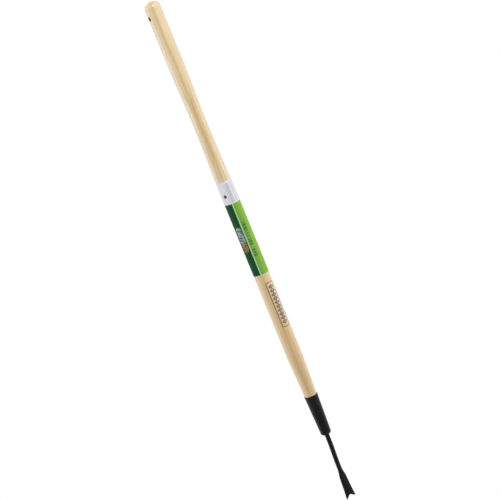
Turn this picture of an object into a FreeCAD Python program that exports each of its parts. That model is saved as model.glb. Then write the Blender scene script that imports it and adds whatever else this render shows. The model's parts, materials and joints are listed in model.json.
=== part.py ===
import FreeCAD, Part
import math
import os
import Sketcher

# Stand up weeder: a turned wooden pole with a steel ferrule, a forged rod and a fishtail blade.
# Millimetres. +Z runs up the handle's axis, the blade's tips stand on z = 0, and the blade is
# flat in the XZ plane, so that its faces look along -Y (front) and +Y (back).

doc = FreeCAD.newDocument("StandUpWeeder")

# ---------------------------------------------------------------------------------------------
# Driving sizes
# ---------------------------------------------------------------------------------------------
SIZES = [
    # handle
    ("handle_length", 914.0, "wooden handle, end to end"),
    ("handle_diameter", 31.75, "grip and lower pole"),
    ("crown_radius", 22.0, "middle of the domed top"),
    ("crown_corner_radius", 9.5, "round between the dome and the side"),
    ("grip_length", 126.0, "top of the handle to the end of the straight grip"),
    ("waist_depth", 2.075, "how far the narrowest place lies under the side of the grip"),
    ("waist_upper_length", 119.0, "straight grip to the waist"),
    ("waist_lower_length", 215.0, "waist to the full lower pole"),
    ("waist_upper_turn", 0.5, "where the upper curve changes hand, as a share of its length"),
    ("waist_lower_turn", 0.3, "where the lower curve changes hand, as a share of its length"),
    ("taper_length", 84.6, "tapered wood above the ferrule"),
    ("hang_hole_diameter", 9.5, "hole through the top of the handle"),
    ("hang_hole_drop", 30.4, "top of the handle to the hang hole"),
    ("hang_hole_edge", 0.6, "eased edge of the hang hole"),
    # ferrule
    ("ferrule_length", 89.4, "bottom of the cup to its rim"),
    ("ferrule_rim_diameter", 27.6, "outside of the rim"),
    ("ferrule_base_diameter", 21.8, "outside of the cup above its rounded bottom"),
    ("ferrule_base_radius", 6.0, "round at the bottom of the cup"),
    ("ferrule_wall", 1.0, "sheet thickness"),
    ("ferrule_gap", 11.0, "bottom of the cup to the end of the wood"),
    ("wood_clearance", 0.05, "between the wood and the inside of the cup, on the radius"),
    # weeder head
    ("rod_diameter", 9.5, "round rod"),
    ("rod_length", 77.0, "bottom of the ferrule to the start of the blade"),
    ("rod_straight", 8.0, "rod below the ferrule that stays on the axis"),
    ("rod_clearance", 0.1, "between the rod and its hole in the ferrule, on the radius"),
    ("blade_shift", 2.2, "how far the blade stands to the left of the axis"),
    ("blade_length", 68.0, "round rod to the tips"),
    ("neck_drop", 8.0, "start of the blade down to the section where the rod flattens"),
    ("neck_width", 10.8, "across the blade there"),
    ("neck_thickness", 7.8, "front to back there"),
    ("shoulder_drop", 16.5, "start of the blade down to the section at its shoulder"),
    ("shoulder_width", 14.8, "across the blade there"),
    ("shoulder_thickness", 5.4, "front to back there"),
    ("middle_height", 28.0, "section half way down the blade"),
    ("middle_width", 17.9, "across the blade there"),
    ("middle_thickness", 3.6, "front to back there"),
    ("tip_width", 22.0, "blade at its tips"),
    ("tip_thickness", 1.5, "front to back at the tips"),
    ("notch_depth", 7.2, "tips to the top of the fishtail notch"),
    ("notch_radius", 1.5, "round top of the notch"),
    ("notch_land", 0.6, "width of each tip's end"),
    ("tang_length", 66.0, "pointed end of the rod inside the wood"),
    ("tang_tip_diameter", 4.0, "end of the tang"),
    ("tang_clearance", 0.1, "between the tang and its bore, on the radius and past the tip"),
    ("weld_size", 1.0, "leg of the weld bead under the ferrule"),
    # ferrule pin
    ("pin_drop", 20.0, "rim of the ferrule to the pin"),
    ("pin_diameter", 2.4, "shank"),
    ("pin_length", 8.0, "under the head"),
    ("pin_head_diameter", 5.0, "round head"),
    ("pin_head_height", 1.1, "head, from its seat to its top"),
    ("pin_clearance", 0.1, "around the pin and past its end"),
    # paper on the handle
    ("label_rise", 47.0, "end of the waist to the top of the green label"),
    ("label_length", 154.0, "green label along the handle"),
    ("sticker_length", 45.0, "white sticker along the handle, straight above the label"),
    ("label_thickness", 0.12, "printed film with its glue"),
]

# Sizes and heights that follow from the driving ones.
FITS = [
    ("ferrule_base", "Sizes.blade_length + Sizes.rod_length"),
    ("ferrule_rim", "ferrule_base + Sizes.ferrule_length"),
    ("handle_foot", "ferrule_base + Sizes.ferrule_gap"),
    ("handle_top", "handle_foot + Sizes.handle_length"),
    ("handle_radius", "Sizes.handle_diameter / 2"),
    # domed top: a crown arc and a corner arc that touch each other
    ("dome_side", "handle_radius - Sizes.crown_corner_radius"),
    ("dome_reach", "Sizes.crown_radius - Sizes.crown_corner_radius"),
    ("dome_rise", "sqrt(dome_reach ^ 2 - dome_side ^ 2)"),
    ("dome_centre", "handle_top - Sizes.crown_radius"),
    ("dome_base", "dome_centre + dome_rise"),
    ("dome_turn_radius", "dome_side * Sizes.crown_radius / dome_reach"),
    ("dome_turn_height", "dome_centre + dome_rise * Sizes.crown_radius / dome_reach"),
    # waist: two pairs of arcs
    ("waist_radius", "handle_radius - Sizes.waist_depth"),
    ("grip_end", "handle_top - Sizes.grip_length"),
    ("waist_height", "grip_end - Sizes.waist_upper_length"),
    ("waist_end", "waist_height - Sizes.waist_lower_length"),
    ("upper_turn_radius", "waist_radius + (handle_radius - waist_radius) * Sizes.waist_upper_turn"),
    ("upper_turn_height", "waist_height + Sizes.waist_upper_length * Sizes.waist_upper_turn"),
    ("lower_turn_radius", "waist_radius + (handle_radius - waist_radius) * Sizes.waist_lower_turn"),
    ("lower_turn_height", "waist_height - Sizes.waist_lower_length * Sizes.waist_lower_turn"),
    ("taper_top", "ferrule_rim + Sizes.taper_length"),
    # hang hole
    ("hang_hole_radius", "Sizes.hang_hole_diameter / 2"),
    ("cut_length", "2 * Sizes.handle_diameter"),
    ("hang_hole_height", "handle_top - Sizes.hang_hole_drop"),
    # ferrule, outside and inside
    ("rod_radius", "Sizes.rod_diameter / 2"),
    ("rod_hole_radius", "rod_radius + Sizes.rod_clearance"),
    ("rim_radius", "Sizes.ferrule_rim_diameter / 2"),
    ("base_radius", "Sizes.ferrule_base_diameter / 2"),
    ("base_corner", "min(Sizes.ferrule_base_radius; base_radius - rod_hole_radius - 0.1)"),
    ("base_flat", "base_radius - base_corner"),
    ("base_side", "ferrule_base + base_corner"),
    ("rim_bore", "rim_radius - Sizes.ferrule_wall"),
    ("base_bore", "base_radius - Sizes.ferrule_wall"),
    ("base_inside", "ferrule_base + Sizes.ferrule_wall"),
    # wood inside the ferrule: its cone stays parallel to the inside of the cup
    ("cone_slope", "(rim_radius - base_radius) / (ferrule_rim - base_side)"),
    ("rim_wood", "rim_bore - Sizes.wood_clearance"),
    ("foot_wood", "rim_wood - cone_slope * (ferrule_rim - handle_foot)"),
    # weeder head
    ("rod_bend", "ferrule_base - Sizes.rod_straight"),
    ("tang_top", "handle_foot + Sizes.tang_length"),
    ("tang_tip", "Sizes.tang_tip_diameter / 2"),
    ("tang_bore_radius", "rod_radius + Sizes.tang_clearance"),
    ("tang_bore_tip", "tang_tip + Sizes.tang_clearance"),
    ("tang_bore_top", "tang_top + Sizes.tang_clearance"),
    ("weld_radius", "rod_radius + Sizes.weld_size"),
    ("weld_foot", "ferrule_base - Sizes.weld_size"),
    ("neck_height", "Sizes.blade_length - Sizes.neck_drop"),
    ("shoulder_height", "Sizes.blade_length - Sizes.shoulder_drop"),
    ("notch_half_width", "Sizes.tip_width / 2 - Sizes.notch_land"),
    # ferrule pin
    ("pin_height", "ferrule_rim - Sizes.pin_drop"),
    ("pin_seat", "rim_radius - cone_slope * Sizes.pin_drop + cone_slope * Sizes.pin_head_diameter / 2"),
    ("pin_radius", "Sizes.pin_diameter / 2"),
    ("pin_head_radius", "Sizes.pin_head_diameter / 2"),
    ("pin_hole_radius", "pin_radius + Sizes.pin_clearance"),
    ("pin_hole_end", "pin_seat - Sizes.pin_length - Sizes.pin_clearance"),
    # label and sticker: both lie on the lowest curve of the waist
    ("lower_run", "handle_radius - lower_turn_radius"),
    ("lower_rise", "lower_turn_height - waist_end"),
    ("lower_arc_radius", "(lower_run ^ 2 + lower_rise ^ 2) / (2 * lower_run)"),
    ("lower_arc_centre", "handle_radius - lower_arc_radius"),
    ("label_top", "waist_end + Sizes.label_rise"),
    ("label_foot", "label_top - Sizes.label_length"),
    ("sticker_top", "label_top + Sizes.sticker_length"),
    ("label_top_radius", "lower_arc_centre + sqrt(lower_arc_radius ^ 2 - (label_top - waist_end) ^ 2)"),
    ("sticker_top_radius", "lower_arc_centre + sqrt(lower_arc_radius ^ 2 - (sticker_top - waist_end) ^ 2)"),
    ("label_outside", "handle_radius + Sizes.label_thickness"),
    ("label_top_outside", "label_top_radius + Sizes.label_thickness"),
    ("sticker_top_outside", "sticker_top_radius + Sizes.label_thickness"),
]


def fill_sheet(name, rows):
    """Makes a spreadsheet with one aliased cell for each row."""
    sheet = doc.addObject("Spreadsheet::Sheet", name)
    for line, row in enumerate(rows, start=1):
        sheet.set("A%d" % line, str(row[1]))
        sheet.setAlias("A%d" % line, row[0])
        if len(row) > 2:
            sheet.set("B%d" % line, row[2])
    return sheet


sizes = fill_sheet("Sizes", SIZES)
doc.recompute()
fits = fill_sheet("Fits", [(alias, "=" + formula) for alias, formula in FITS])
doc.recompute()

CELLS = {row[0]: "Sizes." + row[0] for row in SIZES}
CELLS.update({row[0]: "Fits." + row[0] for row in FITS})


def value(alias):
    """Present number in the cell of that name."""
    sheet = sizes if CELLS[alias].startswith("Sizes.") else fits
    return float(sheet.get(alias))


# ---------------------------------------------------------------------------------------------
# Sketch helpers
# ---------------------------------------------------------------------------------------------
SEAM_ANGLE = 45
ORIGIN = (-1, 1)
VERTICAL_AXIS = -2
HORIZONTAL_AXIS = -1
START, END, CENTRE = 1, 2, 3


def origin_plane(body, role):
    """Base plane of a body, such as XZ_Plane."""
    for feature in body.Origin.OriginFeatures:
        if feature.Role == role:
            return feature
    raise RuntimeError("no plane " + role)


def new_body(label):
    body = doc.addObject("PartDesign::Body", label)
    body.Label = label
    return body


def new_sketch(body, name, role, offset=None):
    """Sketch on one of the body's base planes, moved off it by the cells in offset."""
    sketch = body.newObject("Sketcher::SketchObject", name)
    sketch.AttachmentSupport = [(origin_plane(body, role), "")]
    sketch.MapMode = "FlatFace"
    for axis, expression in (offset or {}).items():
        sketch.setExpression("AttachmentOffset.Base." + axis, expression)
    doc.recompute()
    return sketch


def bind(sketch, kind, picks, alias):
    """Adds a dimension and ties it to a cell."""
    flat = [number for pick in picks for number in pick]
    index = sketch.addConstraint(Sketcher.Constraint(kind, *flat, value(alias)))
    sketch.setExpression("Constraints[%d]" % index, CELLS[alias])


def place_point(sketch, pick, across, up):
    """Fixes a point at two cells' distances from the sketch origin; None keeps it on that axis."""
    if across is None:
        sketch.addConstraint(Sketcher.Constraint("PointOnObject", *pick, VERTICAL_AXIS))
    else:
        bind(sketch, "DistanceX", (ORIGIN, pick), across)
    if up is None:
        sketch.addConstraint(Sketcher.Constraint("PointOnObject", *pick, HORIZONTAL_AXIS))
    else:
        bind(sketch, "DistanceY", (ORIGIN, pick), up)


def arc_centre(first, second, rule):
    """Centre of the arc through two points.

    The rule says where it is: level with one of them, plumb with one of them, on the vertical axis,
    or at the height in a cell.
    """
    if rule == "axis":
        rise = second[1] ** 2 - first[1] ** 2 + second[0] ** 2 - first[0] ** 2
        return (0.0, rise / (2 * (second[1] - first[1])))
    tied = first if rule.endswith("first") else second
    if rule.startswith("plumb"):
        run = second[1] ** 2 - first[1] ** 2 + (second[0] - tied[0]) ** 2 - (first[0] - tied[0]) ** 2
        return (tied[0], run / (2 * (second[1] - first[1])))
    up = tied[1] if rule.startswith("level") else value(rule)
    run = second[0] ** 2 - first[0] ** 2 + (second[1] - up) ** 2 - (first[1] - up) ** 2
    return (run / (2 * (second[0] - first[0])), up)


def add_arc(sketch, first, second, rule):
    """Adds the short arc between two points and gives the picks of its two ends, in that order."""
    centre = arc_centre(first, second, rule)
    spokes = [(point[0] - centre[0], point[1] - centre[1]) for point in (first, second)]
    angles = [math.atan2(spoke[1], spoke[0]) for spoke in spokes]
    turn = spokes[0][0] * spokes[1][1] - spokes[0][1] * spokes[1][0]
    if turn < 0:
        angles.reverse()
    if angles[1] < angles[0]:
        angles[1] += 2 * math.pi
    circle = Part.Circle(FreeCAD.Vector(*centre, 0), FreeCAD.Vector(0, 0, 1), math.hypot(*spokes[0]))
    index = sketch.addGeometry(Part.ArcOfCircle(circle, angles[0], angles[1]))
    ends = (START, END) if turn > 0 else (END, START)
    tied = ends[0] if rule.endswith("first") else ends[1]
    if rule == "axis":
        sketch.addConstraint(Sketcher.Constraint("PointOnObject", index, CENTRE, VERTICAL_AXIS))
    elif rule.startswith("level"):
        sketch.addConstraint(Sketcher.Constraint("Horizontal", index, CENTRE, index, tied))
    elif rule.startswith("plumb"):
        sketch.addConstraint(Sketcher.Constraint("Vertical", index, CENTRE, index, tied))
    else:
        bind(sketch, "DistanceY", (ORIGIN, (index, CENTRE)), rule)
    return (index, ends[0]), (index, ends[1])


def outline(sketch, corners, arcs=None):
    """Closed outline through corners, each an (across, up) pair of cells.

    arcs maps a side's number to the rule for its centre; every other side is straight.
    """
    arcs = arcs or {}
    points = [tuple(0.0 if alias is None else value(alias) for alias in corner) for corner in corners]
    sides = []
    for number, first in enumerate(points):
        second = points[(number + 1) % len(points)]
        if number in arcs:
            sides.append(add_arc(sketch, first, second, arcs[number]))
        else:
            line = Part.LineSegment(FreeCAD.Vector(*first, 0), FreeCAD.Vector(*second, 0))
            index = sketch.addGeometry(line)
            sides.append(((index, START), (index, END)))
    for number, side in enumerate(sides):
        following = sides[(number + 1) % len(sides)]
        sketch.addConstraint(Sketcher.Constraint("Coincident", *side[1], *following[0]))
    for side, corner in zip(sides, corners):
        place_point(sketch, side[0], *corner)


def turn_outline(body, name, corners, arcs=None, start_angle=0):
    """Turns an upright outline all the way round the Z axis, from an angle off the XZ plane."""
    sketch = new_sketch(body, name + "_outline", "XZ_Plane")
    sketch.AttachmentOffset = FreeCAD.Placement(
        FreeCAD.Vector(0, 0, 0), FreeCAD.Rotation(FreeCAD.Vector(0, 1, 0), start_angle))
    outline(sketch, corners, arcs)
    feature = body.newObject("PartDesign::Revolution", name)
    feature.Profile = sketch
    feature.ReferenceAxis = (sketch, ["V_Axis"])
    feature.Angle = 360
    doc.recompute()
    return feature


def circle_sketch(body, name, role, radius, up=None, offset=None):
    """Circle on the sketch's vertical axis."""
    sketch = new_sketch(body, name, role, offset)
    height = 0.0 if up is None else value(up)
    centre = FreeCAD.Vector(0, height, 0)
    index = sketch.addGeometry(Part.Circle(centre, FreeCAD.Vector(0, 0, 1), value(radius)))
    place_point(sketch, (index, CENTRE), None, up)
    bind(sketch, "Radius", ((index,),), radius)
    doc.recompute()
    return sketch


def ellipse_sketch(body, name, width, thickness, offset):
    """Ellipse in a level plane, its long axis along X."""
    sketch = new_sketch(body, name, "XY_Plane", offset)
    half_width, half_thickness = value(width) / 2, value(thickness) / 2
    ellipse = Part.Ellipse(
        FreeCAD.Vector(half_width, 0, 0), FreeCAD.Vector(0, half_thickness, 0), FreeCAD.Vector(0, 0, 0))
    curve = sketch.addGeometry(ellipse)
    sketch.exposeInternalGeometry(curve)
    long_axis, short_axis = curve + 1, curve + 2
    sketch.addConstraint(Sketcher.Constraint("Coincident", curve, CENTRE, *ORIGIN))
    sketch.addConstraint(Sketcher.Constraint("Horizontal", long_axis))
    bind(sketch, "Distance", ((long_axis,),), width)
    bind(sketch, "Distance", ((short_axis,),), thickness)
    doc.recompute()
    return sketch


def loft(body, name, sections):
    feature = body.newObject("PartDesign::AdditiveLoft", name)
    feature.Profile = sections[0]
    feature.Sections = sections[1:]
    doc.recompute()
    return feature


def cut_volume(body, feature, before):
    """Makes sure that a cut took material away."""
    doc.recompute()
    if body.Shape.Volume > before - 1e-3:
        raise RuntimeError(feature.Name + " cuts nothing")


def cut_through(body, name, sketch, length, both_ways=False):
    """Pocket of a cell's length, against the sketch's normal or both ways."""
    before = body.Shape.Volume
    pocket = body.newObject("PartDesign::Pocket", name)
    pocket.Profile = sketch
    pocket.Type = "Length"
    pocket.Length = value(length)
    pocket.setExpression("Length", CELLS[length])
    if both_ways:
        pocket.SideType = "Symmetric"
    cut_volume(body, pocket, before)
    return pocket


# ---------------------------------------------------------------------------------------------
# Handle
# ---------------------------------------------------------------------------------------------
def make_handle():
    """Turned pole with a domed top, a waist, a tapered end and its bores."""
    body = new_body("handle")
    corners = [
        (None, "tang_bore_top"),
        ("tang_bore_tip", "tang_bore_top"),
        ("tang_bore_radius", "handle_foot"),
        ("foot_wood", "handle_foot"),
        ("rim_wood", "ferrule_rim"),
        ("handle_radius", "taper_top"),
        ("handle_radius", "waist_end"),
        ("lower_turn_radius", "lower_turn_height"),
        ("waist_radius", "waist_height"),
        ("upper_turn_radius", "upper_turn_height"),
        ("handle_radius", "grip_end"),
        ("handle_radius", "dome_base"),
        ("dome_turn_radius", "dome_turn_height"),
        (None, "handle_top"),
    ]
    arcs = {
        6: "level_first",
        7: "level_second",
        8: "level_first",
        9: "level_second",
        11: "level_first",
        12: "axis",
    }
    turn_outline(body, "pole", corners, arcs, start_angle=SEAM_ANGLE)

    hole = circle_sketch(body, "hang_hole_circle", "YZ_Plane", "hang_hole_radius", "hang_hole_height")
    hang = cut_through(body, "hang_hole", hole, "cut_length", both_ways=True)
    edges = ["Edge%d" % number for number, edge in enumerate(hang.Shape.Edges, start=1)
             if is_hang_hole_rim(edge)]
    ease = body.newObject("PartDesign::Fillet", "hang_hole_edges")
    ease.Base = (hang, edges)
    ease.Radius = value("hang_hole_edge")
    ease.setExpression("Radius", CELLS["hang_hole_edge"])
    doc.recompute()

    pin = circle_sketch(body, "pin_hole_circle", "XZ_Plane", "pin_hole_radius", "pin_height",
                        {"z": "-" + CELLS["pin_hole_end"]})
    cut_through(body, "pin_hole", pin, "rim_radius")
    return body


def is_hang_hole_rim(edge):
    """Edge where the hang hole meets the handle's round side: its middle lies on the hole's axis."""
    centre = edge.CenterOfMass
    near = value("hang_hole_radius") / 2
    on_axis = abs(centre.y) < near and abs(centre.z - value("hang_hole_height")) < near
    return on_axis and abs(centre.x) > value("handle_radius") / 2


# ---------------------------------------------------------------------------------------------
# Ferrule
# ---------------------------------------------------------------------------------------------
def make_ferrule():
    """Tapered steel cup with a rounded bottom, a hole for the rod and one for the pin."""
    body = new_body("ferrule")
    corners = [
        ("rod_hole_radius", "ferrule_base"),
        ("base_flat", "ferrule_base"),
        ("base_radius", "base_side"),
        ("rim_radius", "ferrule_rim"),
        ("rim_bore", "ferrule_rim"),
        ("base_bore", "base_side"),
        ("base_flat", "base_inside"),
        ("rod_hole_radius", "base_inside"),
    ]
    turn_outline(body, "cup", corners, {1: "level_second", 5: "level_first"})
    pin = circle_sketch(body, "pin_hole_circle", "XZ_Plane", "pin_hole_radius", "pin_height")
    cut_through(body, "pin_hole", pin, "cut_length")
    return body


# ---------------------------------------------------------------------------------------------
# Weeder head
# ---------------------------------------------------------------------------------------------
def make_head():
    """One forging: pointed tang, round rod and flat flared blade with a fishtail notch."""
    body = new_body("weeder_head")
    turn_outline(body, "tang", [
        (None, "rod_bend"),
        ("rod_radius", "rod_bend"),
        ("rod_radius", "handle_foot"),
        ("tang_tip", "tang_top"),
        (None, "tang_top"),
    ])

    left = "-" + CELLS["blade_shift"]
    top = circle_sketch(body, "rod_top", "XY_Plane", "rod_radius", offset={"z": CELLS["rod_bend"]})
    low = {"x": left, "z": CELLS["blade_length"]}
    rod_end = circle_sketch(body, "rod_end", "XY_Plane", "rod_radius", offset=low)
    loft(body, "rod", [top, rod_end])

    sections = [circle_sketch(body, "blade_root", "XY_Plane", "rod_radius", offset=low)]
    for place in ("neck", "shoulder", "middle"):
        offset = {"x": left, "z": CELLS[place + "_height"]}
        sections.append(ellipse_sketch(body, place, place + "_width", place + "_thickness", offset))
    sections.append(ellipse_sketch(body, "tip", "tip_width", "tip_thickness", {"x": left}))
    loft(body, "blade", sections)

    notch = draw_notch(body, left)
    cut_through(body, "notch", notch, "tip_width", both_ways=True)
    return body


def draw_notch(body, left):
    """Triangle that opens at the tips, with a round top."""
    sketch = new_sketch(body, "notch_outline", "XZ_Plane", {"x": left})
    half_width = value("notch_half_width")
    radius = value("notch_radius")
    height = value("notch_depth") - radius
    # the side touches the round top where its spoke stands square to it
    slope = math.atan2(height, half_width)
    lean = slope + math.acos(radius / math.hypot(half_width, height))
    spoke = math.pi - lean
    touch = FreeCAD.Vector(radius * math.cos(spoke), height + radius * math.sin(spoke), 0)
    mirror = FreeCAD.Vector(-touch.x, touch.y, 0)
    right, left_end = FreeCAD.Vector(half_width, 0, 0), FreeCAD.Vector(-half_width, 0, 0)
    circle = Part.Circle(FreeCAD.Vector(0, height, 0), FreeCAD.Vector(0, 0, 1), radius)
    mouth = sketch.addGeometry(Part.LineSegment(left_end, right))
    side = sketch.addGeometry(Part.LineSegment(right, touch))
    crown = sketch.addGeometry(Part.ArcOfCircle(circle, spoke, math.pi - spoke))
    other = sketch.addGeometry(Part.LineSegment(mirror, left_end))
    for constraint in (
            Sketcher.Constraint("Coincident", mouth, END, side, START),
            Sketcher.Constraint("Tangent", side, END, crown, START),
            Sketcher.Constraint("Tangent", crown, END, other, START),
            Sketcher.Constraint("Coincident", other, END, mouth, START),
            Sketcher.Constraint("Symmetric", mouth, START, mouth, END, *ORIGIN),
            Sketcher.Constraint("Horizontal", mouth),
            Sketcher.Constraint("PointOnObject", crown, CENTRE, VERTICAL_AXIS)):
        sketch.addConstraint(constraint)
    bind(sketch, "DistanceX", (ORIGIN, (mouth, END)), "notch_half_width")
    bind(sketch, "Radius", ((crown,),), "notch_radius")
    index = sketch.addConstraint(Sketcher.Constraint("DistanceY", *ORIGIN, crown, CENTRE, height))
    sketch.setExpression(
        "Constraints[%d]" % index, CELLS["notch_depth"] + " - " + CELLS["notch_radius"])
    doc.recompute()
    return sketch


def make_weld():
    """Bead in the corner between the rod and the bottom of the ferrule."""
    body = new_body("ferrule_weld")
    turn_outline(body, "bead", [
        ("rod_radius", "weld_foot"),
        ("weld_radius", "ferrule_base"),
        ("rod_radius", "ferrule_base"),
    ])
    return body


def make_pin():
    """Round-headed pin through the back of the ferrule into the wood, its axis along Y."""
    body = new_body("ferrule_pin")
    shank = circle_sketch(body, "shank_circle", "XY_Plane", "pin_radius")
    pad = body.newObject("PartDesign::Pad", "shank")
    pad.Profile = shank
    pad.Length = value("pin_length")
    pad.setExpression("Length", CELLS["pin_length"])
    pad.Reversed = True
    doc.recompute()
    turn_outline(body, "head", [
        (None, None),
        ("pin_head_radius", None),
        (None, "pin_head_height"),
    ], {1: "axis"})
    body.Placement = FreeCAD.Placement(
        FreeCAD.Vector(0, 0, 0), FreeCAD.Rotation(FreeCAD.Vector(1, 0, 0), -90))
    body.setExpression("Placement.Base.y", CELLS["pin_seat"])
    body.setExpression("Placement.Base.z", CELLS["pin_height"])
    doc.recompute()
    return body


# ---------------------------------------------------------------------------------------------
# Paper round the handle
# ---------------------------------------------------------------------------------------------
def make_label():
    """Green wrap: straight on the pole, then up the first of the waist's curve."""
    body = new_body("product_label")
    turn_outline(body, "wrap", [
        ("handle_radius", "label_foot"),
        ("label_outside", "label_foot"),
        ("label_outside", "waist_end"),
        ("label_top_outside", "label_top"),
        ("label_top_radius", "label_top"),
        ("handle_radius", "waist_end"),
    ], {2: "level_first", 4: "level_second"}, start_angle=SEAM_ANGLE)
    return body


def make_sticker():
    """White wrap on the same curve, edge to edge with the green one."""
    body = new_body("barcode_sticker")
    turn_outline(body, "wrap", [
        ("label_top_radius", "label_top"),
        ("label_top_outside", "label_top"),
        ("sticker_top_outside", "sticker_top"),
        ("sticker_top_radius", "sticker_top"),
    ], {1: "waist_end", 3: "waist_end"}, start_angle=SEAM_ANGLE)
    return body


# ---------------------------------------------------------------------------------------------
# The whole tool
# ---------------------------------------------------------------------------------------------
NODES = [
    make_handle(),
    make_ferrule(),
    make_head(),
    make_weld(),
    make_pin(),
    make_label(),
    make_sticker(),
]

doc.recompute()
for item in doc.Objects:
    if "Invalid" in item.State or "Error" in item.State:
        raise RuntimeError("%s failed: %s" % (item.Name, item.State))
for node in NODES:
    if node.Shape.isNull() or not node.Shape.isValid():
        raise RuntimeError(node.Label + " has no valid shape")

os.makedirs("parts", exist_ok=True)
for node in NODES:
    node.Shape.exportStep("parts/%s.step" % node.Label)
    box = node.Shape.optimalBoundingBox(False, False)
    print("%-16s %9.1f mm3  x %.2f..%.2f  y %.2f..%.2f  z %.2f..%.2f" % (
        node.Label, node.Shape.Volume, box.XMin, box.XMax, box.YMin, box.YMax, box.ZMin, box.ZMax))
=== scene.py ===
import json
import math
from functools import partial
import bmesh
import bpy
from mathutils import Matrix, Vector


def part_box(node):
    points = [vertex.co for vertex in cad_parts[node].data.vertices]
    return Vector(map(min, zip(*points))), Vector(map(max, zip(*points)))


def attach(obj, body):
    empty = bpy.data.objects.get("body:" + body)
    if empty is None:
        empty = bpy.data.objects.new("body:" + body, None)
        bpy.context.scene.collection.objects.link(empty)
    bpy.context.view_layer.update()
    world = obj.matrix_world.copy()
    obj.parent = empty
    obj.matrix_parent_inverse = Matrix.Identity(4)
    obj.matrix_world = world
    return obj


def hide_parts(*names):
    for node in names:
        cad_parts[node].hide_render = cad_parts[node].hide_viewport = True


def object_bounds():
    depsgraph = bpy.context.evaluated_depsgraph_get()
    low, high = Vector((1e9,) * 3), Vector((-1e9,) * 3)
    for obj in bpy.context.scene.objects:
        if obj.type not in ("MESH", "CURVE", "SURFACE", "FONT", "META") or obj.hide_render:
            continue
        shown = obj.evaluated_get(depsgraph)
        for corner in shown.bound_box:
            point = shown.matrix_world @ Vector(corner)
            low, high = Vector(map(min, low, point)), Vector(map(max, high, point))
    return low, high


# Stand up weeder: a lacquered hardwood pole in a black enamelled steel ferrule, with a forged
# fishtail head, a printed green film and a white sticker. Metres; the tips stand on z = 0 and
# the front is -Y.

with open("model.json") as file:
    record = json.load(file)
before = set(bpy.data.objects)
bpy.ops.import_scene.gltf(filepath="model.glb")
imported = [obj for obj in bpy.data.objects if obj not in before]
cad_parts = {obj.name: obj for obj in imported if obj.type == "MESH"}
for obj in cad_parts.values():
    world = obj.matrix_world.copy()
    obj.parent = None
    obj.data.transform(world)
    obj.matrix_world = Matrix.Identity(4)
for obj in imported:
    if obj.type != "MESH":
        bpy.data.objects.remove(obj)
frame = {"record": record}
cad_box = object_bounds()

MM = 0.001

# ------------------------------------------------------------------------------------------
# Places read from the frame
# ------------------------------------------------------------------------------------------
pole_low, pole_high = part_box("handle")
cup_low, cup_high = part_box("ferrule")
head_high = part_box("weeder_head")[1]
bead_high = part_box("ferrule_weld")[1]
pin_low, pin_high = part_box("ferrule_pin")
label_low, label_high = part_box("product_label")
sticker_low, sticker_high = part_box("barcode_sticker")
mounts = {mount["name"]: mount for mount in frame["record"]["mounts"]}

POLE_TOP = pole_high.z
POLE_FOOT = pole_low.z
RIM = cup_high.z
CUP_FOOT = cup_low.z
TANG_TOP = head_high.z
HOLE_HEIGHT = mounts["hang_hole"]["pos_m"][2]
HOLE_RADIUS = mounts["hang_hole"]["dims"]["r_mm"] * MM
PIN_HEIGHT = (pin_low.z + pin_high.z) / 2

# ------------------------------------------------------------------------------------------
# Sizes that the boxes don't hold
# ------------------------------------------------------------------------------------------
# pole
POLE_RADIUS = 15.875 * MM
CROWN_RADIUS = 22.0 * MM
CORNER_RADIUS = 9.5 * MM
GRIP_LENGTH = 126.0 * MM
WAIST_DEPTH = 2.075 * MM
WAIST_UPPER, UPPER_TURN = 119.0 * MM, 0.5
WAIST_LOWER, LOWER_TURN = 215.0 * MM, 0.3
TAPER_LENGTH = 84.6 * MM
HOLE_EDGE = 0.9 * MM
HOLE_BAND = 8.0 * MM
FOOT_CHAMFER = 0.6 * MM
# ferrule
RIM_RADIUS = 13.8 * MM
BASE_RADIUS = 10.9 * MM
BASE_CORNER = 6.0 * MM
WALL = 1.0 * MM
LIP = 0.35 * MM
WOOD_GAP = 0.05 * MM
# pin
PIN_RADIUS = 1.2 * MM
PIN_DOME = 1.1 * MM
PIN_GAP = 0.1 * MM
# rod and blade
ROD_RADIUS = 4.75 * MM
ROD_GAP = 0.1 * MM
ROD_STRAIGHT = 8.0 * MM
TANG_TIP_RADIUS = 2.0 * MM
BLADE_LENGTH = 68.0 * MM
BLADE_SHIFT = 2.2 * MM
# gloss of the lacquer; its index is above the 1.5 or so of a real one, for a stronger gloss
COAT_ROUGHNESS, COAT_IOR = 0.45, 2.0
# pale sheen that whitens the pole's sides; real lacquer has none
BLOOM, BLOOM_ROUGHNESS = 0.85, 0.6
# gloss of the enamel, the printed film and the paper
ENAMEL_SPECULAR = 0.34
FILM_SPECULAR = 0.06
PAPER_SPECULAR = 0.3
# the camera's place, in degrees; the lights and the studio's front are set from its azimuth
CAMERA_AZIMUTH = -22.0
CAMERA_ELEVATION = 12.0


# ------------------------------------------------------------------------------------------
# Node and mesh helpers
# ------------------------------------------------------------------------------------------
def linear(code):
    """sRGB hex colour as linear RGBA."""
    parts = [int(code[place:place + 2], 16) / 255 for place in (1, 3, 5)]
    return [part / 12.92 if part <= 0.04045 else ((part + 0.055) / 1.055) ** 2.4 for part in parts] + [1.0]


def add_node(tree, kind, inputs=(), **settings):
    """Adds a node with its settings. Inputs are values, sockets or nodes, by name or in order."""
    node = tree.nodes.new(kind)
    for name, setting in settings.items():
        setattr(node, name, setting)
    sockets = [socket for socket in node.inputs if socket.enabled]
    if isinstance(inputs, dict):
        sockets = [next(socket for socket in sockets if socket.name == name) for name in inputs]
        inputs = inputs.values()
    for socket, given in zip(sockets, inputs):
        if isinstance(given, bpy.types.Node):
            given = next(output for output in given.outputs if output.enabled)
        if isinstance(given, bpy.types.NodeSocket):
            tree.links.new(given, socket)
        else:
            socket.default_value = given
    return node


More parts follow.
